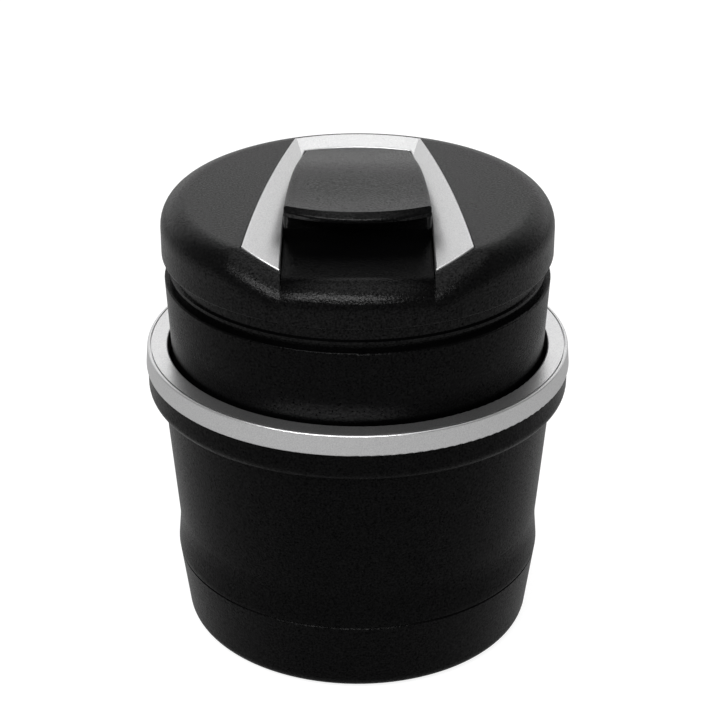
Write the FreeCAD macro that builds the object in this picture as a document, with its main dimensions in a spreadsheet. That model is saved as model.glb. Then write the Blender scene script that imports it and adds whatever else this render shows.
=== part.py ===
import FreeCAD, Part
import Sketcher
import math
import os
import re

# A car ashtray that stands in a cup holder. An ash cup with a hinged lid drops into a tapered outer cup.
# Millimetres, +Z up, the origin at the middle of the foot, the front of the lid towards -Y.

SIZES = {
    # outer cup, from the collar down
    "collar_r": 41.5,
    "collar_top_z": 55.8,
    "collar_tall": 6.0,
    "collar_out": 2.9,
    "collar_round": 2.4,
    "waist_in": 2.3,
    "waist_up": 5.9,
    "waist_round": 16.0,
    "crease_out": 0.5,
    "crease_z": 16.0,
    "crease_round": 3.0,
    "line_down": 0.8,
    "line_half": 0.25,
    "line_deep": 0.2,
    "foot_in": 2.1,
    "foot_round": 2.6,
    "cup_wall": 2.0,
    "cup_floor": 2.5,
    # tongue of the outer cup that the trim ring clips over
    "tongue_in": 1.7,
    "tongue_wall": 1.5,
    "tongue_tall": 2.4,
    # trim ring, measured over the tongue
    "ring_over": 1.7,
    "ring_lip": 0.85,
    "ring_swell": 0.35,
    "ring_groove": 0.3,
    "ring_groove_deep": 0.8,
    "ring_rim": 0.5,
    "ring_edge": 0.35,
    # ash cup
    "ring_gap": 0.85,
    "ash_flare": 0.95,
    "ash_stand": 18.8,
    "ash_step_up": 1.4,
    "ash_step": 1.0,
    "foot_room": 0.7,
    "ash_rim_edge": 0.35,
    "ash_foot_round": 2.0,
    "ash_foot_wall": 1.7,
    "ash_floor": 2.0,
    "rim_wide": 1.95,
    "seat_wide": 1.1,
    "seat_deep": 2.2,
    # metal liner
    "liner_wall": 0.6,
    # mouth ring
    "neck_in": 1.55,
    "neck_wall": 3.4,
    "neck_step": 0.8,
    "bead": 0.5,
    "bead_up": 1.4,
    "bead_tall": 1.2,
    # lid
    "lid_over": 0.39,
    "lid_gap": 4.6,
    "lid_tall": 10.8,
    "lid_round": 5.1,
    "lid_edge": 0.5,
    "lid_wall": 2.0,
    "neck_overlap": 1.5,
    "seal_tall": 0.9,
    "seal_wide": 2.0,
    "plate_thick": 0.8,
    "tray_floor": 1.6,
    # sloped sides of the dip in the lid, and the cone at its rear
    "dip_front_half": 21.76,
    "dip_rear_half": 12.4,
    "dip_front_y": -25.2,
    "dip_rear_y": 30.7,
    "dip_slope": 0.346,
    "dip_round": 8.0,
    "dip_rim": 5.34,
    "dip_rear_slope": 0.12,
    # silver U
    "bar_wide": 6.0,
    "trim_bow": 1.4,
    "trim_front_half": 20.6,
    "trim_proud": 0.35,
    "trim_deep": 0.9,
    "trim_edge": 0.3,
    # thumb grip
    "strip_sink": 2.55,
    "strip_crown_r": 112.0,
    "grip_rear_half": 10.4,
    "grip_mid_half": 12.4,
    "grip_mid_y": 10.0,
    "grip_front_half": 13.8,
    "grip_wall_y": -13.6,
    "lip_corner_in": 1.6,
    "lip_corner_out": 1.0,
    "lip_out": 4.4,
    "lip_rise": 3.5,
    "lip_tall": 1.9,
    "grip_sink": 0.4,
    "lip_chamfer": 1.3,
    "grip_edge": 0.6,
    "strip_in": 0.05,
    "grip_wall": 2.2,
    "wall_round": 1.0,
    "crown_y": 10.0,
    "crown_high": 0.85,
    "dish_y": -7.0,
    "dish_high": 0.05,
    "peg_r": 2.0,
    "peg_y": 16.0,
    # hinge
    "hinge_out": 1.46,
    "hinge_r": 2.2,
    "hinge_gap": 0.3,
    "knuckle_half": 5.0,
    "ear_wide": 3.5,
    "pin_r": 1.0,
    "heel_long": 2.5,
    "heel_wide": 1.0,
    "stop_out": 0.55,
    "web_thick": 2.9,
    # cigarette rest
    "rest_wide": 12.0,
    "rest_thick": 1.0,
    "rest_drop": 1.6,
    "groove_half": 5.5,
    "groove_floor_half": 3.0,
    "groove_deep": 4.0,
    "lug_long": 5.0,
    "lug_tall": 3.0,
    # screws
    "screw_r": 1.0,
    "screw_long": 4.0,
    "screw_head_r": 1.9,
    "screw_head": 1.0,
    "boss_r": 3.2,
    "boss_in": 6.95,
    # fits
    "slide_fit": 0.3,
    "close_fit": 0.1,
    "seam": 0.15,
    "pin_fit": 0.05,
    "press_fit": 0.02,
}

# Sizes that follow from the ones above, each in terms of those before it.
FORMULAS = {
    "shoulder_r": "collar_r - collar_out",
    "shoulder_z": "collar_top_z - collar_tall",
    "waist_r": "shoulder_r - waist_in",
    "waist_z": "crease_z + waist_up",
    "crease_r": "waist_r + crease_out",
    "foot_r": "crease_r - foot_in",
    "foot_lean": "foot_in / crease_z",
    "line_z": "crease_z - line_down",
    "line_r": "foot_r + foot_lean * line_z",
    "tongue_r": "collar_r - tongue_in",
    "tongue_top_z": "collar_top_z + tongue_tall",
    "ring_top_z": "tongue_top_z + ring_over",
    "ring_bore_r": "tongue_r - tongue_wall - ring_lip",
    "ash_step_r": "ring_bore_r - ring_gap",
    "ash_step_z": "collar_top_z + ash_step_up",
    "ash_rim_r": "ash_step_r + ash_flare",
    "ash_rim_z": "collar_top_z + ash_stand",
    "ash_foot_r": "foot_r - cup_wall - foot_room",
    "ash_bore_foot_r": "ash_foot_r - ash_foot_wall",
    "seat_r": "ash_rim_r - rim_wide",
    "seat_z": "ash_rim_z - seat_deep",
    "ash_bore_r": "seat_r - seat_wide",
    "neck_r": "ash_rim_r - neck_in",
    "neck_bore_r": "neck_r - neck_wall",
    "neck_step_r": "neck_r - neck_step",
    "bead_z": "ash_rim_z + bead_up",
    "lid_r": "ash_rim_r + lid_over",
    "lid_bottom_z": "ash_rim_z + lid_gap",
    "lid_top_z": "lid_bottom_z + lid_tall",
    "neck_top_z": "lid_bottom_z + neck_overlap",
    "plate_bottom_z": "neck_top_z + slide_fit + seal_tall",
    "plate_top_z": "plate_bottom_z + plate_thick",
    "tray_z": "plate_top_z + tray_floor",
    "dip_rear_r": "lid_r - dip_rim",
    "strip_crown_z": "lid_top_z - strip_sink",
    "grip_rear_r": "dip_rear_r - bar_wide",
    "grip_rear_z": "lid_top_z - grip_sink",
    "lip_corner_half": "grip_front_half - lip_corner_in",
    "lip_corner_y": "grip_wall_y - lip_corner_out",
    "lip_y": "grip_wall_y - lip_out",
    "lip_top_z": "lid_top_z + lip_rise",
    "hinge_y": "lid_r + hinge_out",
    "ear_top_z": "lid_bottom_z - hinge_gap",
    "hinge_z": "ear_top_z - hinge_r",
    "hinge_half": "knuckle_half + hinge_gap + ear_wide",
    "stop_y": "neck_r + stop_out",
    "rest_z": "neck_top_z - rest_drop",
    "rest_half": "sqrt(neck_bore_r * neck_bore_r - rest_wide * rest_wide / 4) - slide_fit",
    "rest_screw_x": "neck_bore_r - lug_long / 2",
    "boss_at": "(lid_r - lid_wall - boss_in) * sqrt(0.5)",
    "screw_hole_r": "screw_r + press_fit",
}

V = FreeCAD.Vector
UP = V(0, 0, 1)
ACROSS = V(1, 0, 0)
ALONG = V(0, 1, 0)
FAR = 60.0

doc = FreeCAD.newDocument("ashtray")
sheet = doc.addObject("Spreadsheet::Sheet", "sizes")
rows = [(alias, str(value)) for alias, value in SIZES.items()]
rows += [(alias, "=" + formula) for alias, formula in FORMULAS.items()]
for row, (alias, content) in enumerate(rows, start=1):
    sheet.set("A%d" % row, alias)
    sheet.set("B%d" % row, content)
    sheet.setAlias("B%d" % row, alias)
doc.recompute()
ALIASES = set(SIZES) | set(FORMULAS)


def size(alias):
    return float(getattr(sheet, alias))


def cells(text):
    """Turns the size names in an expression into references to the sheet."""
    return re.sub(r"[a-z_]+", lambda m: "sizes." + m.group() if m.group() in ALIASES else m.group(), text)


def origin_plane(body, role):
    return next(f for f in body.Origin.OriginFeatures if f.Role == role)


def loop_sketch(body, name, role, corners, offset=None):
    """A closed sketch of straight lines; every corner's two coordinates are expressions of the sheet."""
    sketch = body.newObject("Sketcher::SketchObject", name)
    sketch.AttachmentSupport = (origin_plane(body, role), [""])
    sketch.MapMode = "FlatFace"
    if offset:
        sketch.setExpression("AttachmentOffset.Base.z", cells(offset))
    count = len(corners)
    turn = 2 * math.pi / count
    start = [V(50 + 20 * math.cos(turn * k), 50 + 20 * math.sin(turn * k), 0) for k in range(count)]
    for k in range(count):
        sketch.addGeometry(Part.LineSegment(start[k], start[(k + 1) % count]), False)
    for k in range(count):
        sketch.addConstraint(Sketcher.Constraint("Coincident", k, 2, (k + 1) % count, 1))
    for k, corner in enumerate(corners):
        for kind, text, value in zip(("DistanceX", "DistanceY"), corner, start[k]):
            index = sketch.addConstraint(Sketcher.Constraint(kind, -1, 1, k, 1, value))
            sketch.setExpression("Constraints[%d]" % index, cells(text))
    return sketch


def hole_sketch(body, name, role, spots, radius, offset=None):
    """A sketch of equal round holes at spots whose two coordinates are expressions of the sheet."""
    sketch = body.newObject("Sketcher::SketchObject", name)
    sketch.AttachmentSupport = (origin_plane(body, role), [""])
    sketch.MapMode = "FlatFace"
    if offset:
        sketch.setExpression("AttachmentOffset.Base.z", cells(offset))
    for k, spot in enumerate(spots):
        start = V(50 + 10 * k, 50, 0)
        sketch.addGeometry(Part.Circle(start, UP, 1), False)
        index = sketch.addConstraint(Sketcher.Constraint("Radius", k, 1.0))
        sketch.setExpression("Constraints[%d]" % index, cells(radius))
        for kind, text, value in zip(("DistanceX", "DistanceY"), spot, start):
            index = sketch.addConstraint(Sketcher.Constraint(kind, -1, 1, k, 3, value))
            sketch.setExpression("Constraints[%d]" % index, cells(text))
    return sketch


def turned_body(label, corners):
    """A body turned round the Z axis from a profile of (radius, height) corners."""
    body = doc.addObject("PartDesign::Body", label)
    body.Label = label
    sketch = loop_sketch(body, label + "_profile", "XZ_Plane", corners)
    turn = body.newObject("PartDesign::Revolution", label + "_turn")
    turn.Profile = sketch
    turn.ReferenceAxis = (sketch, ["V_Axis"])
    turn.Angle = 360
    doc.recompute()
    return body


def circle_edges(shape, places):
    """Names of the round edges about the Z axis at the given (radius, height) places."""
    names = []
    for k, edge in enumerate(shape.Edges, start=1):
        if edge.Curve.TypeId != "Part::GeomCircle":
            continue
        spot = edge.Curve.Center
        for radius, height in places:
            if abs(edge.Curve.Radius - radius) < 1e-4 and abs(spot.z - height) < 1e-4:
                names.append("Edge%d" % k)
    return names


def round_edges(body, name, radius, places):
    base = body.Tip
    edge_round = body.newObject("PartDesign::Fillet", name)
    edge_round.Base = (base, circle_edges(base.Shape, places))
    edge_round.setExpression("Radius", cells(radius))
    body.Tip = edge_round
    doc.recompute()


def padded(body, name, sketch, kind, length, midplane=False, back=False):
    feature = body.newObject("PartDesign::" + kind, name)
    feature.Profile = sketch
    feature.setExpression("Length", cells(length))
    feature.SideType = "Symmetric" if midplane else "One side"
    feature.Reversed = back
    body.Tip = feature
    doc.recompute()
    return feature


# Outer cup: one moulding of nearly even wall, with a fine line below its crease and a tongue for the ring.
outer_cup = turned_body("outer_cup", [
    ("0", "0"),
    ("foot_r", "0"),
    ("line_r - foot_lean * line_half", "line_z - line_half"),
    ("line_r - line_deep", "line_z"),
    ("line_r + foot_lean * line_half", "line_z + line_half"),
    ("crease_r", "crease_z"),
    ("waist_r", "waist_z"),
    ("shoulder_r", "shoulder_z"),
    ("collar_r", "shoulder_z"),
    ("collar_r", "collar_top_z"),
    ("tongue_r", "collar_top_z"),
    ("tongue_r", "tongue_top_z"),
    ("tongue_r - tongue_wall", "tongue_top_z"),
    ("tongue_r - tongue_wall", "shoulder_z + cup_wall"),
    ("shoulder_r - cup_wall", "shoulder_z"),
    ("waist_r - cup_wall", "waist_z"),
    ("crease_r - cup_wall", "crease_z"),
    ("foot_r - cup_wall", "cup_floor"),
    ("0", "cup_floor"),
])
round_edges(outer_cup, "foot_rounding", "foot_round", [(size("foot_r"), 0)])
round_edges(outer_cup, "crease_rounding", "crease_round", [(size("crease_r"), size("crease_z"))])
round_edges(outer_cup, "waist_rounding", "waist_round", [(size("waist_r"), size("waist_z"))])
round_edges(outer_cup, "collar_rounding", "collar_round", [(size("collar_r"), size("shoulder_z"))])

# Trim ring: an upside-down channel over the tongue, with a shadow groove in its top, just inside the outer edge.
groove_r = "collar_r - ring_rim"
groove_z = "ring_top_z - ring_groove_deep"
trim_ring = turned_body("trim_ring", [
    ("collar_r + ring_swell", "collar_top_z"),
    ("collar_r", "ring_top_z"),
    (groove_r, "ring_top_z"),
    (groove_r, groove_z),
    (groove_r + " - ring_groove", groove_z),
    (groove_r + " - ring_groove", "ring_top_z"),
    ("ring_bore_r", "ring_top_z"),
    ("ring_bore_r", "collar_top_z + ring_edge"),
    ("tongue_r - tongue_wall - close_fit", "collar_top_z + ring_edge"),
    ("tongue_r - tongue_wall - close_fit", "tongue_top_z + close_fit"),
    ("tongue_r + close_fit", "tongue_top_z + close_fit"),
    ("tongue_r + close_fit", "collar_top_z"),
])
round_edges(trim_ring, "ring_edge_rounding", "ring_edge", [
    (size("collar_r") + size("ring_swell"), size("collar_top_z")),
    (size("collar_r"), size("ring_top_z")),
    (size("ring_bore_r"), size("ring_top_z")),
])

# Ash cup: stands on the outer cup's floor, its upper wall above the ring, with a stepped seat in its mouth.
ash_cup = turned_body("ash_cup", [
    ("0", "cup_floor"),
    ("ash_foot_r", "cup_floor"),
    ("ash_step_r - ash_step", "ash_step_z - ash_step"),
    ("ash_step_r", "ash_step_z"),
    ("ash_rim_r", "ash_rim_z"),
    ("seat_r", "ash_rim_z"),
    ("seat_r", "seat_z"),
    ("ash_bore_r", "seat_z"),
    ("ash_bore_foot_r", "cup_floor + ash_floor"),
    ("0", "cup_floor + ash_floor"),
])
round_edges(ash_cup, "ash_rim_rounding", "ash_rim_edge", [(size("ash_rim_r"), size("ash_rim_z"))])
round_edges(ash_cup, "ash_foot_rounding", "ash_foot_round", [(size("ash_foot_r"), size("cup_floor"))])

# Liner: thin metal cup that hangs in the ash cup by its flange.
liner_foot_z = "cup_floor + ash_floor + slide_fit"
ash_liner = turned_body("ash_liner", [
    ("0", liner_foot_z),
    ("ash_bore_foot_r - slide_fit", liner_foot_z),
    ("ash_bore_r - slide_fit", "seat_z"),
    ("seat_r - 2 * close_fit", "seat_z"),
    ("seat_r - 2 * close_fit", "seat_z + liner_wall"),
    ("ash_bore_r - slide_fit - liner_wall", "seat_z + liner_wall"),
    ("ash_bore_foot_r - slide_fit - liner_wall", liner_foot_z + " + liner_wall"),
    ("0", liner_foot_z + " + liner_wall"),
])

# Mouth ring: neck with a bead, a spigot in the ash cup's seat, two hinge ears and two lugs for the rest.
mouth_ring = turned_body("mouth_ring", [
    ("neck_bore_r", "seat_z + liner_wall"),
    ("seat_r - close_fit", "seat_z + liner_wall"),
    ("seat_r - close_fit", "ash_rim_z"),
    ("neck_r", "ash_rim_z"),
    ("neck_r", "bead_z - bead_tall / 2"),
    ("neck_r + bead", "bead_z - bead_tall / 4"),
    ("neck_r + bead", "bead_z + bead_tall / 4"),
    ("neck_r", "bead_z + bead_tall / 2"),
    ("neck_r", "ear_top_z - hinge_gap"),
    ("neck_step_r", "ear_top_z"),
    ("neck_step_r", "neck_top_z"),
    ("neck_bore_r", "neck_top_z"),
])
stop_block = loop_sketch(mouth_ring, "stop_profile", "YZ_Plane", [
    ("neck_bore_r + bead", "bead_z - bead_tall / 2"),
    ("stop_y", "bead_z - bead_tall / 2"),
    ("stop_y", "ear_top_z"),
    ("neck_bore_r + bead", "ear_top_z"),
])
padded(mouth_ring, "stop_block", stop_block, "Pad", "2 * hinge_half", midplane=True)
ear_profile = loop_sketch(mouth_ring, "ear_profile", "YZ_Plane", [
    ("stop_y - bead", "hinge_z - hinge_r * 0.4"),
    ("hinge_y - hinge_r * 0.4", "hinge_z - hinge_r"),
    ("hinge_y + hinge_r * 0.4", "hinge_z - hinge_r"),
    ("hinge_y + hinge_r", "hinge_z - hinge_r * 0.4"),
    ("hinge_y + hinge_r", "hinge_z + hinge_r * 0.4"),
    ("hinge_y + hinge_r * 0.4", "ear_top_z"),
    ("stop_y - bead", "ear_top_z"),
])
padded(mouth_ring, "ears", ear_profile, "Pad", "2 * hinge_half", midplane=True)
ear_gap = loop_sketch(mouth_ring, "ear_gap_profile", "YZ_Plane", [
    ("stop_y", "hinge_z - hinge_r - heel_long"),
    ("hinge_y + hinge_r + heel_long", "hinge_z - hinge_r - heel_long"),
    ("hinge_y + hinge_r + heel_long", "lid_bottom_z"),
    ("stop_y", "lid_bottom_z"),
])
padded(mouth_ring, "ear_gap", ear_gap, "Pocket", "2 * (knuckle_half + hinge_gap)", midplane=True)
pin_spot = [("hinge_y", "hinge_z")]
pin_hole = hole_sketch(mouth_ring, "pin_hole_profile", "YZ_Plane", pin_spot, "pin_r + press_fit")
padded(mouth_ring, "pin_hole", pin_hole, "Pocket", "4 * hinge_half", midplane=True)
for side in (-1, 1):
    lug = loop_sketch(mouth_ring, "lug_profile", "XY_Plane", [
        ("%d * (neck_bore_r + bead)" % side, "-rest_wide / 2"),
        ("%d * (neck_bore_r + bead)" % side, "rest_wide / 2"),
        ("%d * (neck_bore_r - lug_long)" % side, "rest_wide / 2"),
        ("%d * (neck_bore_r - lug_long)" % side, "-rest_wide / 2"),
    ], offset="rest_z")
    padded(mouth_ring, "lug", lug, "Pad", "lug_tall", back=True)
rest_screw_spots = [("%d * rest_screw_x" % side, "0") for side in (-1, 1)]
lug_holes = hole_sketch(
    mouth_ring, "lug_hole_profile", "XY_Plane", rest_screw_spots, "screw_hole_r", "rest_z")
padded(mouth_ring, "lug_holes", lug_holes, "Pocket", "lug_tall")

# Cigarette rest: a strip folded down into a groove in the middle, screwed to the two lugs.
cigarette_rest = doc.addObject("PartDesign::Body", "cigarette_rest")
cigarette_rest.Label = "cigarette_rest"
rest_corners = [
    ("rest_half", "rest_z"),
    ("groove_half", "rest_z"),
    ("groove_floor_half", "rest_z - groove_deep"),
]
under = rest_corners + [("-(%s)" % x, z) for x, z in reversed(rest_corners)]
over = [(x, z + " + rest_thick") for x, z in reversed(under)]
rest_sketch = loop_sketch(cigarette_rest, "rest_profile", "XZ_Plane", under + over)
padded(cigarette_rest, "rest_strip", rest_sketch, "Pad", "rest_wide", midplane=True)
rest_holes = hole_sketch(
    cigarette_rest, "rest_hole_profile", "XY_Plane", rest_screw_spots, "screw_hole_r", "neck_top_z")
padded(cigarette_rest, "rest_holes", rest_holes, "Pocket", "rest_drop + rest_thick")

# Lid plate and seal: a flat metal disc that closes the lid from below, with a rubber ring under its rim.
plate_r = "lid_r - lid_wall - slide_fit"
lid_seal = turned_body("lid_seal", [
    ("neck_step_r - seal_wide", "neck_top_z + slide_fit"),
    ("neck_step_r", "neck_top_z + slide_fit"),
    ("neck_step_r", "plate_bottom_z"),
    ("neck_step_r - seal_wide", "plate_bottom_z"),
])
lid_plate = turned_body("lid_plate", [
    ("0", "plate_bottom_z"),
    (plate_r, "plate_bottom_z"),
    (plate_r, "plate_top_z"),
    ("0", "plate_top_z"),
])
plate_spot = [("boss_at", "boss_at")]
plate_hole = hole_sketch(
    lid_plate, "plate_hole_profile", "XY_Plane", plate_spot, "screw_hole_r", "plate_top_z")
one_hole = padded(lid_plate, "plate_hole", plate_hole, "Pocket", "plate_thick")
hole_ring = lid_plate.newObject("PartDesign::PolarPattern", "plate_holes")
hole_ring.Originals = [one_hole]
hole_ring.Axis = (origin_plane(lid_plate, "Z_Axis"), [""])
hole_ring.Angle = 360
hole_ring.Occurrences = 4
lid_plate.Tip = hole_ring
doc.recompute()

# Hinge pin: runs through both ears and the lid's knuckle.
hinge_pin = doc.addObject("Part::Cylinder", "hinge_pin")
hinge_pin.Label = "hinge_pin"
hinge_pin.setExpression("Radius", cells("pin_r"))
hinge_pin.setExpression("Height", cells("2 * hinge_half"))
hinge_pin.Placement = FreeCAD.Placement(V(0, 0, 0), FreeCAD.Rotation(ALONG, 90))
hinge_pin.setExpression("Placement.Base.x", cells("-hinge_half"))
hinge_pin.setExpression("Placement.Base.y", cells("hinge_y"))
hinge_pin.setExpression("Placement.Base.z", cells("hinge_z"))

# Levels and widths of the lid, read from the sheet.
lid_r = size("lid_r")
lid_top = size("lid_top_z")
lid_bottom = size("lid_bottom_z")
plate_top_z = size("plate_top_z")
tray_z = size("tray_z")
seam = size("seam")


def box(x_half, y0, y1, z0, z1):
    return Part.makeBox(2 * x_half, y1 - y0, z1 - z0, V(-x_half, y0, z0))


def dip_half(y):
    """Half-width of the dip where its sloped side meets the lid's flat top."""
    share = (y - size("dip_front_y")) / (size("dip_rear_y") - size("dip_front_y"))
    return size("dip_front_half") + share * (size("dip_rear_half") - size("dip_front_half"))


def dip(lowered):
    """The space above the two sloped sides of the dip, lowered or raised as a whole."""
    slope = size("dip_slope")
    high = lid_top + FAR / 4
    sections = []
    for y in (-FAR, FAR):
        half = dip_half(y)
        wide = half + (high - lid_top + lowered) / slope
        corners = [V(0, y, lid_top - slope * half - lowered), V(wide, y, high), V(-wide, y, high)]
        sections.append(Part.makePolygon(corners + corners[:1]))
    return Part.makeLoft(sections, True, True)


def rear_bowl(lowered):
    """The space inside the cone that the crossbar of the U lies on, open towards the front."""
    slope = size("dip_rear_slope")
    tall = FAR / 4
    drop = size("dip_rear_r") * slope
    cone = Part.makeCone(0, size("dip_rear_r") + tall / slope, drop + tall, V(0, 0, lid_top - drop - lowered))
    return cone.fuse(box(FAR, -FAR, 0, lid_bottom, lid_top + tall))


def rim_edges(shape):
    """Edges of the lid's outer rim, above its lower edge, that run round and not up."""
    found = []
    for edge in shape.Edges:
        first, last = edge.ParameterRange
        spots = [edge.valueAt(first + (last - first) * k) for k in (0.1, 0.5, 0.9)]
        on_rim = all(abs(math.hypot(p.x, p.y) - lid_r) < 1e-3 and p.z > tray_z for p in spots)
        upright = math.hypot(spots[0].x - spots[2].x, spots[0].y - spots[2].y) < 1e-3
        if on_rim and not upright:
            found.append(edge)
    return found


def side_curve(grow):
    """Half of the grip's plan outline, from the rear corner to the wall, as points to the right."""
    rear_half = size("grip_rear_half")
    rear_y = math.sqrt(size("grip_rear_r") ** 2 - rear_half ** 2)
    return [
        V(rear_half + grow, rear_y + grow, 0),
        V(size("grip_mid_half") + grow, size("grip_mid_y"), 0),
        V(size("grip_front_half") + grow, size("grip_wall_y"), 0),
    ]


def mirrored(point):
    return V(-point.x, point.y, point.z)


def arc(a, b, c):
    return Part.Arc(a, b, c).toShape()


def line(a, b):
    return Part.LineSegment(a, b).toShape()


def prism(edges, z0, z1):
    wire = Part.Wire(edges)
    wire.translate(V(0, 0, z0))
    return Part.Face(wire).extrude(V(0, 0, z1 - z0))


def grip_plan(grow, z0, z1, with_lip):
    """Upright solid of the grip's plan: up to the wall and on to the front, or up to the lip."""
    rear, mid, front = side_curve(grow)
    rear_mid = V(0, size("grip_rear_r") + grow, 0)
    edges = [
        arc(mirrored(rear), rear_mid, rear),
        arc(rear, mid, front),
    ]
    if with_lip:
        corner = V(size("lip_corner_half") + grow, size("lip_corner_y"), 0)
        edges += [
            line(front, corner),
            arc(corner, V(0, size("lip_y"), 0), mirrored(corner)),
            line(mirrored(corner), mirrored(front)),
        ]
    else:
        far = V(front.x, -FAR, 0)
        edges += [
            line(front, far),
            line(far, mirrored(far)),
            line(mirrored(far), mirrored(front)),
        ]
    edges.append(arc(mirrored(front), mirrored(mid), mirrored(rear)))
    return prism(edges, z0, z1)


def top_edges(shape):
    """Edges where a face that looks up meets an upright face."""
    found = []
    for edge in shape.Edges:
        first, last = edge.ParameterRange
        spot = edge.valueAt((first + last) / 2)
        faces = shape.ancestorsOfType(edge, Part.Face)
        looks = sorted(f.normalAt(*f.Surface.parameter(spot)).z for f in faces)
        if len(looks) == 2 and abs(looks[0]) < 0.2 and looks[1] > 0.6:
            found.append(edge)
    return found


# The lid's middle form: crowned from side to side, with the same rolled rim.
crown = Part.makeCylinder(
    size("strip_crown_r"), 2 * FAR, V(0, -FAR, size("strip_crown_z") - size("strip_crown_r")), ALONG)
middle_form = Part.makeCylinder(lid_r, lid_top - lid_bottom, V(0, 0, lid_bottom)).common(crown)
middle_half = size("grip_front_half") + size("lid_wall")
middle_form = middle_form.common(box(middle_half, -FAR, FAR, lid_bottom, lid_top))
middle_form = middle_form.makeFillet(size("lid_round"), rim_edges(middle_form))

# The lid's side form: flat on top, sloped in towards the middle at the front, with the rim rolled all round.
grip_slot = grip_plan(seam, lid_bottom - 1, lid_top + FAR, False)
whole_lid = Part.makeCylinder(lid_r, lid_top - lid_bottom, V(0, 0, lid_bottom))
front_form = whole_lid.common(box(FAR, -FAR, 0, lid_bottom, lid_top)).cut(dip(0))
dip_edges = []
for edge in front_form.Edges:
    ends = edge.Vertexes
    on_top = all(abs(end.Z - lid_top) < 1e-6 for end in ends)
    across_y = abs(ends[0].Y - ends[-1].Y) > 1
    if on_top and across_y and edge.Curve.TypeId != "Part::GeomCircle":
        dip_edges.append(edge)
front_form = front_form.makeFillet(size("dip_round"), dip_edges)
rear_form = whole_lid.common(box(FAR, 0, FAR, lid_bottom, lid_top))
side_form = front_form.fuse(rear_form).removeSplitter().cut(grip_slot)
side_form = side_form.makeFillet(size("lid_round"), rim_edges(side_form))


def plan_of_trim(grow, z0, z1):
    """Upright solid of the U: between two bowed sides, inside the rim's round, outside the grip."""
    rear_half = size("dip_rear_half") + grow
    front_half = size("trim_front_half") + grow
    rear_y = size("dip_rear_y")
    front_y = size("dip_front_y")
    reach = (front_half - rear_half) / (rear_y - front_y)
    rear = V(rear_half - reach * 4, rear_y + 4, 0)
    front = V(front_half + reach * 8, front_y - 8, 0)
    mid = V((rear_half + front_half) / 2 + size("trim_bow"), (rear_y + front_y) / 2, 0)
    edges = [
        arc(front, mid, rear),
        line(rear, mirrored(rear)),
        arc(mirrored(rear), mirrored(mid), mirrored(front)),
        line(mirrored(front), front),
    ]
    plan = prism(edges, z0, z1)
    plan = plan.common(Part.makeCylinder(size("dip_rear_r") + grow, z1 - z0, V(0, 0, z0)))
    return plan.cut(grip_plan(2 * seam - grow, z0 - 1, z1 + 1, False))


# Silver U: lies on the two sloped sides and the rear cone, a little proud of them.
trim_low = dip(size("trim_deep")).common(rear_bowl(size("trim_deep")))
trim_high = dip(-size("trim_proud")).common(rear_bowl(-size("trim_proud")))
trim_span = plan_of_trim(0, tray_z, lid_top + FAR)
trim_shape = trim_span.common(trim_low).cut(trim_high)
trim_shape = trim_shape.makeFillet(size("trim_edge"), top_edges(trim_shape))

# Thumb grip: a crowned strip that runs out over the front rim, and a hollow tab that rises to a lip.
strip = grip_plan(-size("strip_in"), tray_z, lid_top + FAR / 4, False).common(middle_form)
wall_y = size("grip_wall_y")
tab = grip_plan(0, tray_z, lid_top + FAR / 4, True)
rear_tip = V(0, size("grip_rear_r"), size("grip_rear_z"))
lip_tip = V(0, size("lip_y"), size("lip_top_z"))
rise = (lip_tip.z - rear_tip.z) / (rear_tip.y - lip_tip.y)


def tab_wedge(lowered, y_front):
    """The space under the tab's sloped top."""
    front_z = lip_tip.z + rise * (lip_tip.y - y_front) - lowered
    rear_z = lip_tip.z + rise * (lip_tip.y - FAR) - lowered
    corners = [
        V(-FAR, y_front, tray_z - 1),
        V(-FAR, y_front, front_z),
        V(-FAR, FAR, rear_z),
        V(-FAR, FAR, tray_z - 1),
    ]
    return Part.Face(Part.makePolygon(corners + corners[:1])).extrude(V(2 * FAR, 0, 0))


def tab_top(y, high=0.0):
    """A point on the sloped plane through the tab's rear and its lip, or that high above it."""
    return V(-FAR, y, lip_tip.z + rise * (lip_tip.y - y) + high)


# The top is crowned at the rear, levels out for the thumb and rises again to the lip.
top_line = Part.BSplineCurve()
top_line.interpolate([
    tab_top(rear_tip.y + size("bar_wide")),
    tab_top(rear_tip.y),
    tab_top(size("crown_y"), size("crown_high")),
    tab_top(size("dish_y"), size("dish_high")),
    tab_top(lip_tip.y),
    tab_top(lip_tip.y - size("lip_out")),
])
front_low = V(-FAR, lip_tip.y - size("lip_out"), tray_z - 1)
rear_low = V(-FAR, rear_tip.y + size("bar_wide"), tray_z - 1)
top_outline = [
    top_line.toShape(),
    line(tab_top(lip_tip.y - size("lip_out")), front_low),
    line(front_low, rear_low),
    line(rear_low, tab_top(rear_tip.y + size("bar_wide"))),
]
tab = tab.common(Part.Face(Part.Wire(top_outline)).extrude(V(2 * FAR, 0, 0)))
wall_block = grip_plan(0, tray_z - 1, lid_top + FAR, False)
wall_block = wall_block.common(box(FAR, wall_y, FAR, tray_z - 1, lid_top + FAR))
corners = [e for e in wall_block.Edges if all(abs(v.Y - wall_y) < 1e-6 for v in e.Vertexes)
           and abs(e.Vertexes[0].X - e.Vertexes[1].X) < 1e-6]
wall_block = wall_block.makeFillet(size("wall_round"), corners)
below_lip = tab_wedge(size("lip_tall"), -FAR)
in_front = box(FAR, -FAR, wall_y + size("wall_round"), tray_z - 1, lid_top + FAR)
tab = tab.cut(below_lip.common(in_front).cut(wall_block))
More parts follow.
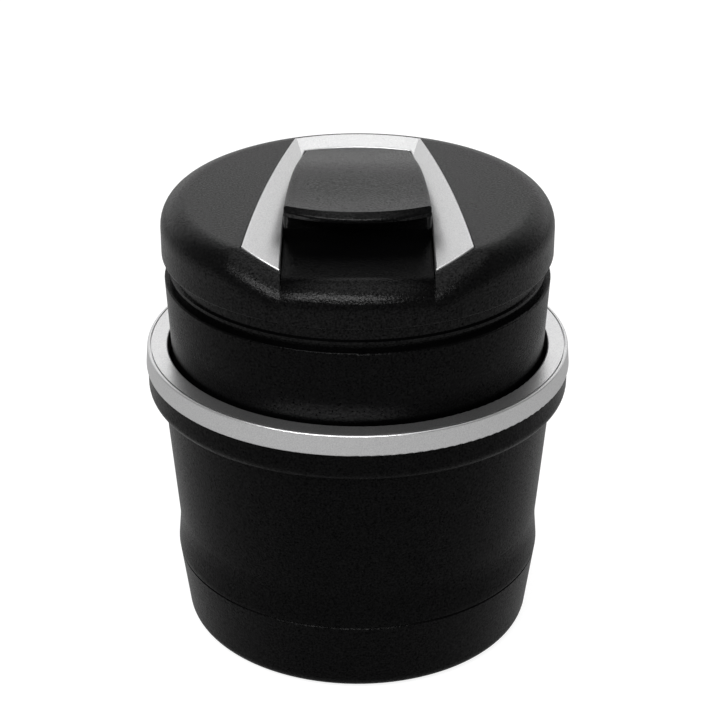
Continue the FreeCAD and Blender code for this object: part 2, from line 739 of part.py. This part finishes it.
# A cone about the middle of the lip's arc slants its face and its two corners.
lip_sag = size("lip_corner_y") - size("lip_y")
lip_r = (size("lip_corner_half") ** 2 + lip_sag ** 2) / (2 * lip_sag)
slant_tall = lip_r / 2
slant_z = size("lip_top_z") - size("lip_chamfer") - slant_tall
slant = Part.makeCone(lip_r + slant_tall, 0, lip_r + slant_tall, V(0, size("lip_y") + lip_r, slant_z))
tab = tab.common(slant)
tab = tab.makeFillet(size("grip_edge"), top_edges(tab))
grip_shape = strip.fuse(tab).removeSplitter()
core = grip_plan(-size("grip_wall"), tray_z - 1, lid_top + FAR / 4, True)
core = core.common(tab_wedge(size("grip_wall"), wall_y + size("grip_wall")))
grip_shape = grip_shape.cut(core)
pegs = [V(side * (size("grip_mid_half") - size("grip_wall") - size("peg_r") * 2), size("peg_y"), plate_top_z)
        for side in (-1, 1)]

# Lid shell: hollow below, with a tray that carries the grip, bosses for the plate and the hinge knuckle.
shell = side_form.fuse(middle_form.common(grip_plan(seam, lid_bottom - 1, tray_z, False))).removeSplitter()
lower_edges = [e for e in shell.Edges if e.Curve.TypeId == "Part::GeomCircle"
               and abs(e.Curve.Radius - lid_r) < 1e-4 and abs(e.Curve.Center.z - lid_bottom) < 1e-4]
shell = shell.makeFillet(size("lid_edge"), lower_edges)
lid_inside_r = lid_r - size("lid_wall")
inside_top = lid_top - size("lid_wall")
hollow = Part.makeCylinder(lid_inside_r, inside_top - lid_bottom + 1, V(0, 0, lid_bottom - 1))
inner_round = size("lid_round") - size("lid_wall")
top_edge = [e for e in hollow.Edges if e.Curve.TypeId == "Part::GeomCircle" and e.Curve.Center.z > lid_bottom]
hollow = hollow.makeFillet(inner_round, top_edge)
hollow_top = hollow.common(box(FAR, -FAR, FAR, plate_top_z, lid_top))
hollow_low = hollow.common(box(FAR, -FAR, FAR, lid_bottom - 1, plate_top_z))
hollow_top = hollow_top.cut(dip(size("lid_wall") + size("trim_deep")))
hollow_top = hollow_top.cut(grip_plan(size("lid_wall"), plate_top_z - 1, lid_top, False))
boss_spots = [V(x * size("boss_at"), y * size("boss_at"), 0) for x in (-1, 1) for y in (-1, 1)]
for spot in boss_spots:
    boss = Part.makeCylinder(size("boss_r"), lid_top - plate_top_z, spot + UP * plate_top_z)
    hollow_top = hollow_top.cut(boss)
shell = shell.cut(hollow_low).cut(hollow_top)
for spot in boss_spots:
    depth = size("screw_long") - size("plate_thick") + size("close_fit")
    shell = shell.cut(Part.makeCylinder(size("screw_hole_r"), depth, spot + UP * plate_top_z))
shell = shell.cut(plan_of_trim(seam, tray_z, lid_top + FAR).common(trim_low))

hinge_at = V(0, size("hinge_y"), size("hinge_z"))
half = size("knuckle_half")
hinge_r = size("hinge_r")
knuckle = Part.makeCylinder(hinge_r, 2 * half, hinge_at - ACROSS * half, ACROSS)
web_y = size("hinge_y") - hinge_r
web = box(half, web_y, web_y + size("web_thick"), size("hinge_z"), tray_z)
heel_half = size("heel_wide") / 2
heel = box(half, size("hinge_y") - heel_half, size("hinge_y") + heel_half,
           size("hinge_z") - size("heel_long"), size("hinge_z"))
hole_r = size("pin_r") + size("pin_fit")
hinge_hole = Part.makeCylinder(hole_r, 4 * half, hinge_at - ACROSS * 2 * half, ACROSS)
shell = shell.fuse(knuckle.fuse([web, heel])).removeSplitter()
shell = shell.cut(Part.makeCylinder(lid_inside_r, plate_top_z - lid_bottom, V(0, 0, lid_bottom)))
shell = shell.cut(hinge_hole)
for peg in pegs:
    hole = Part.makeCylinder(size("peg_r") + size("close_fit"), tray_z - plate_top_z + 1, peg - UP * 0.5)
    shell = shell.cut(hole)
    peg_tall = size("grip_rear_z") - size("grip_edge") - plate_top_z
    grip_shape = grip_shape.fuse(Part.makeCylinder(size("peg_r"), peg_tall, peg))


def screws(spots, down):
    """A group of equal screws: each spot is where the underside of a head bears."""
    way = UP * (-1 if down else 1)
    group = []
    for spot in spots:
        head = Part.makeCylinder(size("screw_head_r"), size("screw_head"), spot, way * -1)
        shank = Part.makeCylinder(size("screw_r"), size("screw_long"), spot, way)
        group.append(head.fuse(shank).removeSplitter())
    return Part.makeCompound(group)


rest_top_z = size("rest_z") + size("rest_thick")
rest_spots = [V(side * size("rest_screw_x"), 0, rest_top_z) for side in (-1, 1)]
plate_spots = [spot + UP * size("plate_bottom_z") for spot in boss_spots]

shapes = {
    "lid_shell": shell,
    "lid_trim": trim_shape,
    "thumb_grip": grip_shape,
    "rest_screws": screws(rest_spots, True),
    "plate_screws": screws(plate_spots, False),
}
for label, shape in shapes.items():
    feature = doc.addObject("Part::Feature", label)
    feature.Label = label
    feature.Shape = shape
    feature.Placement = FreeCAD.Placement()
doc.recompute()

pieces = [
    outer_cup, trim_ring, ash_cup, ash_liner, mouth_ring, cigarette_rest, lid_seal, lid_plate, hinge_pin,
] + [doc.getObject(label) for label in shapes]
for thing in doc.Objects:
    if "Invalid" in thing.State or "Error" in thing.State:
        raise RuntimeError("%s did not build" % thing.Name)
os.makedirs("parts", exist_ok=True)
for piece in pieces:
    if piece.Shape.isNull() or not piece.Shape.isValid():
        raise RuntimeError("%s has no valid shape" % piece.Label)
for piece in pieces:
    shape = piece.Shape
    shape.exportStep(os.path.join("parts", piece.Label + ".step"))
    print("%-15s %d solid(s) %9.1f mm3" % (piece.Label, len(shape.Solids), shape.Volume))
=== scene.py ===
# %% [markdown]
# # A car ashtray in its finishes
# The ashtray stands in a cup holder: a tapered black cup with a silver ring, and a lift-out ash cup under a
# hinged lid. Its hard shapes come from the CAD model, which is loaded here as a fixed frame. This lesson sets
# up the camera and the light, and then gives each piece its finish, with the small details a moulding has.

# %% Load the frame
import math
import bmesh
import bpy
from mathutils import Matrix, Vector


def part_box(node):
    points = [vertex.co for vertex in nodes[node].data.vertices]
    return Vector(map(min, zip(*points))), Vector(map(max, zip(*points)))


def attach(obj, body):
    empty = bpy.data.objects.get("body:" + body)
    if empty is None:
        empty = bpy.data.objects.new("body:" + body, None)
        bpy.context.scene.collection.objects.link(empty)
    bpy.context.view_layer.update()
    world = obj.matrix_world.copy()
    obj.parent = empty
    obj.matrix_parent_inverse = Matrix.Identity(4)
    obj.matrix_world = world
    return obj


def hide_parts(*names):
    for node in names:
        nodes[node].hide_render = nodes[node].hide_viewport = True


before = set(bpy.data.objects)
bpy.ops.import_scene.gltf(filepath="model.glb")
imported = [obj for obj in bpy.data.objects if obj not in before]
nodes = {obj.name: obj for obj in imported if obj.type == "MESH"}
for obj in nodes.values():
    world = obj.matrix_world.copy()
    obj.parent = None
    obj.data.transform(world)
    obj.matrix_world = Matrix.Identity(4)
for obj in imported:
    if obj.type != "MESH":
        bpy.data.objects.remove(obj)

scene = bpy.context.scene
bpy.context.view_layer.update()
print("pieces in the frame:", sorted(nodes))

# %% [markdown]
# ## Camera
# The photograph looks down on the lid from the front. Fitting the ellipses of the ring and the lid gave the
# distance, the pitch and the focal length, so the camera is typed in as numbers and not framed by eye. The
# small shift stands for the object being a little left of the picture's middle.

# %% Camera at the photograph's angle
CAMERA_PLACE = (0.0, -0.37614, 0.24218)
CAMERA_PITCH = math.radians(63.496)
camera_data = bpy.data.cameras.new("camera")
camera_data.sensor_width = 36.0
camera_data.lens = 105.5
camera_data.shift_x = 0.0033
camera_data.clip_start = 0.01
camera = bpy.data.objects.new("camera", camera_data)
camera.location = CAMERA_PLACE
camera.rotation_euler = (CAMERA_PITCH, 0.0, 0.0)
scene.collection.objects.link(camera)
scene.camera = camera
print("camera at", tuple(camera.location))

# %% [markdown]
# ## Studio
# The object stands on a pale floor before a white background. The picture sees white all round. Reflections
# see the white backdrop behind the object and a dimmer room at the sides and at the camera's side, as in a
# studio, which keeps the rolled edge of the lid dark. The light that falls on the object is soft and plain.


# %% Helpers for node trees
def link(tree, source, socket):
    tree.links.new(source, socket)


def ramp(tree, source, stops):
    """A colour ramp whose stops are (place, grey) pairs."""
    node = tree.nodes.new("ShaderNodeValToRGB")
    elements = node.color_ramp.elements
    while len(elements) < len(stops):
        elements.new(0.5)
    for element, (place, grey) in zip(elements, stops):
        element.position = place
        element.color = (grey, grey, grey, 1.0)
    link(tree, source, node.inputs["Fac"])
    return node.outputs["Color"]


def math_node(tree, operation, first, second):
    node = tree.nodes.new("ShaderNodeMath")
    node.operation = operation
    for socket, value in zip(node.inputs, (first, second)):
        if isinstance(value, (int, float)):
            socket.default_value = value
        else:
            link(tree, value, socket)
    return node.outputs["Value"]


def scale_add(tree, source, factor, offset):
    """The value of a socket times a factor, plus an offset."""
    value = math_node(tree, "MULTIPLY_ADD", source, factor)
    value.node.inputs[2].default_value = offset
    return value


def seen_rays(tree):
    """1 for rays of the picture itself and of reflections, 0 for rays that only carry light."""
    ray = tree.nodes.new("ShaderNodeLightPath").outputs
    mirrored = math_node(tree, "MAXIMUM", ray["Is Glossy Ray"], ray["Is Transmission Ray"])
    return math_node(tree, "MAXIMUM", ray["Is Camera Ray"], mirrored)


# %% World
scene.view_settings.view_transform = "Standard"
world = bpy.data.worlds.new("studio")
world.use_nodes = True
scene.world = world
tree = world.node_tree
tree.nodes.clear()
way = tree.nodes.new("ShaderNodeTexCoord").outputs["Generated"]
split = tree.nodes.new("ShaderNodeSeparateXYZ")
link(tree, way, split.inputs["Vector"])
front_to_back = scale_add(tree, split.outputs["Y"], 0.5, 0.5)
room = ramp(tree, front_to_back, [(0.0, 0.3), (1.0, 0.6)])
room_light = tree.nodes.new("ShaderNodeBackground")
link(tree, room, room_light.inputs["Color"])
white = tree.nodes.new("ShaderNodeBackground")
white.inputs["Color"].default_value = (1.0, 1.0, 1.0, 1.0)
backdrop = ramp(tree, front_to_back, [(0.0, 0.2), (0.74, 0.25), (0.86, 0.85)])
in_picture = tree.nodes.new("ShaderNodeLightPath").outputs["Is Camera Ray"]
link(tree, math_node(tree, "MAXIMUM", in_picture, backdrop), white.inputs["Strength"])
choose = tree.nodes.new("ShaderNodeMixShader")
link(tree, seen_rays(tree), choose.inputs["Fac"])
link(tree, room_light.outputs["Background"], choose.inputs[1])
link(tree, white.outputs["Background"], choose.inputs[2])
output = tree.nodes.new("ShaderNodeOutputWorld")
link(tree, choose.outputs["Shader"], output.inputs["Surface"])
print("world made")

# %% Floor
FLOOR_HALF = 1.5
FLOOR_DROP = 0.0002
FLOOR_GREY = (0.28, 0.28, 0.28, 1.0)
PICTURE_GLOW, MIRROR_GLOW = 0.65, 0.2
grid = bmesh.new()
bmesh.ops.create_grid(grid, x_segments=4, y_segments=4, size=FLOOR_HALF)
bmesh.ops.translate(grid, verts=grid.verts, vec=(0.0, 0.0, -FLOOR_DROP))
floor_mesh = bpy.data.meshes.new("floor")
grid.to_mesh(floor_mesh)
grid.free()
floor = bpy.data.objects.new("floor", floor_mesh)
scene.collection.objects.link(floor)

floor_finish = bpy.data.materials.new("pale_floor")
floor_finish.use_nodes = True
tree = floor_finish.node_tree
tree.nodes.clear()
paper = tree.nodes.new("ShaderNodeBsdfDiffuse")
paper.inputs["Color"].default_value = FLOOR_GREY
glow = tree.nodes.new("ShaderNodeEmission")
camera_ray = tree.nodes.new("ShaderNodeLightPath").outputs["Is Camera Ray"]
in_picture = math_node(tree, "MULTIPLY", camera_ray, PICTURE_GLOW)
in_mirrors = math_node(tree, "MULTIPLY", seen_rays(tree), MIRROR_GLOW)
link(tree, math_node(tree, "ADD", in_picture, in_mirrors), glow.inputs["Strength"])
both = tree.nodes.new("ShaderNodeAddShader")
link(tree, paper.outputs["BSDF"], both.inputs[0])
link(tree, glow.outputs["Emission"], both.inputs[1])
output = tree.nodes.new("ShaderNodeOutputMaterial")
link(tree, both.outputs["Shader"], output.inputs["Surface"])
floor_mesh.materials.append(floor_finish)
print("floor", 2 * FLOOR_HALF, "m across")


# %% [markdown]
# ## Lamps
# A softbox above the camera, a little to the left, draws the highlight on the lid's front rim and lights the
# silver band. A small one high at the back brightens the crossbar of the lid's trim. A wide lamp overhead
# fills the shadows. The lamps show in reflections, and the picture itself sees none of them.


# %% Softboxes
def softbox(name, place, target, width, height, watts):
    data = bpy.data.lights.new(name, "AREA")
    data.shape = "RECTANGLE"
    data.size = width
    data.size_y = height
    data.energy = watts
    lamp = bpy.data.objects.new(name, data)
    lamp.location = place
    aim = Vector(target) - Vector(place)
    lamp.rotation_euler = aim.to_track_quat("-Z", "Y").to_euler()
    lamp.visible_camera = False
    scene.collection.objects.link(lamp)
    print(name, watts, "W")


LID = (0.0, 0.0, 0.08)
softbox("front", (-0.2, -0.75, 0.82), LID, 1.1, 0.28, 9.0)
softbox("high_back", (0.0, 0.8, 0.73), LID, 0.42, 0.22, 0.38)
softbox("overhead", (0.0, 0.0, 1.0), LID, 0.9, 0.9, 2.5)

# %% [markdown]
# ## Finishes
# Every finish is made of nodes on Object coordinates, which are metres here, so a grain of 0.4 mm is a noise
# of scale 2700. The black mouldings have a fine satin grain: a bump for the grain, pores that reflect less
# than the skin around them, and a slow change of roughness, because a moulding is never equally shiny all
# over. The two cups are duller than the lid.


# %% Shared parts of a finish
def new_finish(name):
    material = bpy.data.materials.new(name)
    material.use_nodes = True
    tree = material.node_tree
    shader = tree.nodes["Principled BSDF"]
    place = tree.nodes.new("ShaderNodeTexCoord").outputs["Object"]
    return material, tree, shader, place


def noise(tree, place, scale, detail=3.0):
    node = tree.nodes.new("ShaderNodeTexNoise")
    node.inputs["Scale"].default_value = scale
    node.inputs["Detail"].default_value = detail
    link(tree, place, node.inputs["Vector"])
    return node.outputs["Fac"]


def bump(tree, shader, height, distance):
    node = tree.nodes.new("ShaderNodeBump")
    node.inputs["Distance"].default_value = distance
    node.inputs["Strength"].default_value = 1.0
    link(tree, height, node.inputs["Height"])
    link(tree, node.outputs["Normal"], shader.inputs["Normal"])


def colour_ramp(tree, source, stops):
    """A ramp between (place, (red, green, blue)) stops."""
    colours = ramp(tree, source, [(place, 0.0) for place, _ in stops])
    for element, (_, colour) in zip(colours.node.color_ramp.elements, stops):
        element.color = (*colour, 1.0)
    return colours


# %% Black plastic
PLASTIC_GRAIN_SCALE = 2700.0
PORE_GAIN, PORE_OFFSET = 0.5, -0.105


def black_plastic(name, low, high, rough, grain, gloss=1.0):
    """Satin plastic between two blacks, with a grain in metres and a gloss of 1 for the full reflection."""
    material, tree, shader, place = new_finish(name)
    slow = noise(tree, place, 60.0)
    tint = colour_ramp(tree, slow, [(0.3, low), (0.7, high)])
    link(tree, tint, shader.inputs["Base Color"])
    fine = noise(tree, place, PLASTIC_GRAIN_SCALE, 2.0)
    pores = scale_add(tree, fine, PORE_GAIN * gloss, PORE_OFFSET * gloss)
    link(tree, pores, shader.inputs["Specular IOR Level"])
    shine = scale_add(tree, slow, 0.08, rough - 0.04)
    link(tree, shine, shader.inputs["Roughness"])
    bump(tree, shader, fine, grain)
    return material


STRIP_TOP_Z = 0.0886
STRIP_MATT_Y, STRIP_GLOSSY_Y = -0.0325, -0.0355
MATT_SHARE = 0.08


def matt_floor(material):
    """Makes the sunk floor in front of the thumb tab matt, so that it does not mirror the backdrop."""
    tree = material.node_tree
    shader = tree.nodes["Principled BSDF"]
    place = tree.nodes.new("ShaderNodeSeparateXYZ")
    link(tree, tree.nodes.new("ShaderNodeTexCoord").outputs["Object"], place.inputs["Vector"])
    above = math_node(tree, "GREATER_THAN", place.outputs["Z"], STRIP_TOP_Z)
    ahead = tree.nodes.new("ShaderNodeMapRange")
    ahead.inputs["From Min"].default_value = STRIP_MATT_Y
    ahead.inputs["From Max"].default_value = STRIP_GLOSSY_Y
    link(tree, place.outputs["Y"], ahead.inputs["Value"])
    glossy = math_node(tree, "MAXIMUM", above, ahead.outputs["Result"])
    share = math_node(tree, "MAXIMUM", glossy, MATT_SHARE)
    level = shader.inputs["Specular IOR Level"]
    link(tree, math_node(tree, "MULTIPLY", level.links[0].from_socket, share), level)


DEEP_BLACK = (0.0008, 0.0008, 0.0009)
SOFT_BLACK = (0.0014, 0.0014, 0.0015)
SATIN_ROUGH, SATIN_GRAIN = 0.26, 0.00006
moulded_black = black_plastic("moulded_black", DEEP_BLACK, SOFT_BLACK, SATIN_ROUGH, SATIN_GRAIN)
cup_black = black_plastic("cup_black", DEEP_BLACK, SOFT_BLACK, SATIN_ROUGH, SATIN_GRAIN, gloss=0.5)
grip_black = black_plastic("grip_black", DEEP_BLACK, SOFT_BLACK, SATIN_ROUGH, SATIN_GRAIN)
matt_floor(grip_black)


# %% Silver paint
def silver_paint(name, dark, light, metallic):
    """Metallic paint whose flakes change its tint and its bump."""
    material, tree, shader, place = new_finish(name)
    shader.inputs["Metallic"].default_value = metallic
    flakes = noise(tree, place, 5200.0, 2.0)
    tint = colour_ramp(tree, flakes, [(0.3, dark), (0.7, light)])
    link(tree, tint, shader.inputs["Base Color"])
    slow = noise(tree, place, 90.0)
    shine = scale_add(tree, slow, 0.1, 0.25)
    link(tree, shine, shader.inputs["Roughness"])
    bump(tree, shader, flakes, 0.000015)
    return material


trim_silver = silver_paint("trim_silver", (0.52, 0.52, 0.525), (0.74, 0.74, 0.74), 0.85)
ring_silver = silver_paint("ring_silver", (0.64, 0.64, 0.645), (0.82, 0.82, 0.82), 0.95)


# %% Inner metals and rubber
def turned_metal(name, dark, light, rough):
    """Sheet metal with the fine rings that spinning leaves round the Z axis."""
    material, tree, shader, place = new_finish(name)
    shader.inputs["Metallic"].default_value = 1.0
    rings = tree.nodes.new("ShaderNodeTexWave")
    rings.wave_type = "RINGS"
    rings.rings_direction = "Z"
    rings.inputs["Scale"].default_value = 450.0
    rings.inputs["Distortion"].default_value = 1.5
    rings.inputs["Detail"].default_value = 3.0
    link(tree, place, rings.inputs["Vector"])
    tint = colour_ramp(tree, rings.outputs["Fac"], [(0.2, dark), (0.8, light)])
    link(tree, tint, shader.inputs["Base Color"])
    slow = noise(tree, place, 80.0)
    shine = scale_add(tree, slow, 0.14, rough - 0.07)
    link(tree, shine, shader.inputs["Roughness"])
    bump(tree, shader, rings.outputs["Fac"], 0.000002)
    return material


def brushed_metal(name, dark, light, rough):
    """Steel with fine streaks along X, as a rolled strip has."""
    material, tree, shader, place = new_finish(name)
    shader.inputs["Metallic"].default_value = 1.0
    stretch = tree.nodes.new("ShaderNodeMapping")
    stretch.inputs["Scale"].default_value = (0.05, 1.0, 1.0)
    link(tree, place, stretch.inputs["Vector"])
    streaks = noise(tree, stretch.outputs["Vector"], 4200.0)
    link(tree, colour_ramp(tree, streaks, [(0.3, dark), (0.7, light)]), shader.inputs["Base Color"])
    shine = scale_add(tree, streaks, 0.16, rough - 0.08)
    link(tree, shine, shader.inputs["Roughness"])
    bump(tree, shader, streaks, 0.000003)
    return material


spun_aluminium = turned_metal("spun_aluminium", (0.46, 0.46, 0.47), (0.6, 0.6, 0.61), 0.36)
bright_steel = brushed_metal("bright_steel", (0.5, 0.5, 0.5), (0.64, 0.64, 0.63), 0.28)
seal_rubber = black_plastic("seal_rubber", (0.012, 0.012, 0.012), (0.02, 0.02, 0.02), 0.7, 0.00002)

# %% Give each node its finish
FINISHES = {
    moulded_black: ["mouth_ring", "lid_shell"],
    cup_black: ["outer_cup", "ash_cup"],
    grip_black: ["thumb_grip"],
    trim_silver: ["lid_trim"],
    ring_silver: ["trim_ring"],
    spun_aluminium: ["ash_liner", "lid_plate"],
    bright_steel: ["cigarette_rest", "rest_screws", "plate_screws", "hinge_pin"],
    seal_rubber: ["lid_seal"],
}
for material, names in FINISHES.items():
    for name in names:
        mesh = nodes[name].data
        mesh.materials.clear()
        mesh.materials.append(material)
        print(name, len(mesh.polygons), "faces:", material.name)

# %% [markdown]
# ## Screws
# Six small pan-head screws hold the lid plate and the cigarette rest. They show when the lid is open, and the
# CAD model has them as plain discs on shanks. Here one screw is spun from half a profile, its cross recess is
# cut with a Boolean, and copies of it take the places of the plain ones.

# %% One screw, spun from its profile
HEAD_R, HEAD_TALL = 0.0019, 0.001
SHANK_R, SHANK_LONG = 0.001, 0.004
half_profile = [
    (0.0, HEAD_TALL),
    (HEAD_R * 0.55, HEAD_TALL * 0.96),
    (HEAD_R * 0.88, HEAD_TALL * 0.7),
    (HEAD_R, HEAD_TALL * 0.3),
    (HEAD_R, 0.0),
    (SHANK_R, 0.0),
    (SHANK_R, SHANK_R * 0.5 - SHANK_LONG),
    (SHANK_R * 0.6, -SHANK_LONG),
    (0.0, -SHANK_LONG),
]
screw_bm = bmesh.new()
profile = [screw_bm.verts.new((r, 0.0, z)) for r, z in half_profile]
edges = [screw_bm.edges.new(pair) for pair in zip(profile, profile[1:])]
bmesh.ops.spin(screw_bm, geom=profile + edges, cent=(0, 0, 0), axis=(0, 0, 1), angle=math.tau,
               steps=32, use_merge=True)
bmesh.ops.remove_doubles(screw_bm, verts=screw_bm.verts, dist=1e-6)
bmesh.ops.recalc_face_normals(screw_bm, faces=screw_bm.faces)
print("screw blank:", len(screw_bm.faces), "faces")


# %% Cross recess
def mesh_object(name, bm):
    mesh = bpy.data.meshes.new(name)
    bm.to_mesh(mesh)
    bm.free()
    piece = bpy.data.objects.new(name, mesh)
    scene.collection.objects.link(piece)
    return piece


cross_bm = bmesh.new()
for length, width in ((1.15, 0.28), (0.28, 1.15)):
    bar = bmesh.ops.create_cube(cross_bm, size=1.0)["verts"]
    bmesh.ops.scale(cross_bm, verts=bar, vec=(HEAD_R * length, HEAD_R * width, HEAD_TALL))
    bmesh.ops.translate(cross_bm, verts=bar, vec=(0, 0, HEAD_TALL * 0.95))
blank = mesh_object("screw_blank", screw_bm)
cutter = mesh_object("cross_cutter", cross_bm)
cut = blank.modifiers.new("recess", "BOOLEAN")
cut.operation = "DIFFERENCE"
cut.object = cutter
cut.use_self = True
screw_mesh = bpy.data.meshes.new_from_object(blank.evaluated_get(bpy.context.evaluated_depsgraph_get()))
for scratch in (blank, cutter):
    bpy.data.objects.remove(scratch)
print("screw with recess:", len(screw_mesh.polygons), "faces")


# %% Screws in their places
TURN_STEP = 0.7


def place_screws(node, body, spots, head_up):
    """One piece with a screw at each spot, each turned a little further than the last."""
    group = bmesh.new()
    for turn, spot in enumerate(spots):
        old = set(group.verts)
        group.from_mesh(screw_mesh)
        new = [v for v in group.verts if v not in old]
        place = Matrix.Translation(spot) @ Matrix.Rotation(0.0 if head_up else math.pi, 4, "X")
        place = place @ Matrix.Rotation(TURN_STEP * turn, 4, "Z")
        bmesh.ops.transform(group, matrix=place, verts=new)
    piece = mesh_object(node + "_detailed", group)
    piece.data.materials.append(bright_steel)
    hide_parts(node)
    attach(piece, body)
    print(piece.name, len(piece.data.polygons), "faces")


_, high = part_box("rest_screws")
rest_x = high[0] - HEAD_R
place_screws("rest_screws", "ash_body", [(s * rest_x, 0.0, high[2] - HEAD_TALL) for s in (-1, 1)], True)
low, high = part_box("plate_screws")
plate_x = high[0] - HEAD_R
corners = [(x * plate_x, y * plate_x, low[2] + HEAD_TALL) for x in (-1, 1) for y in (-1, 1)]
place_screws("plate_screws", "lid_body", corners, False)
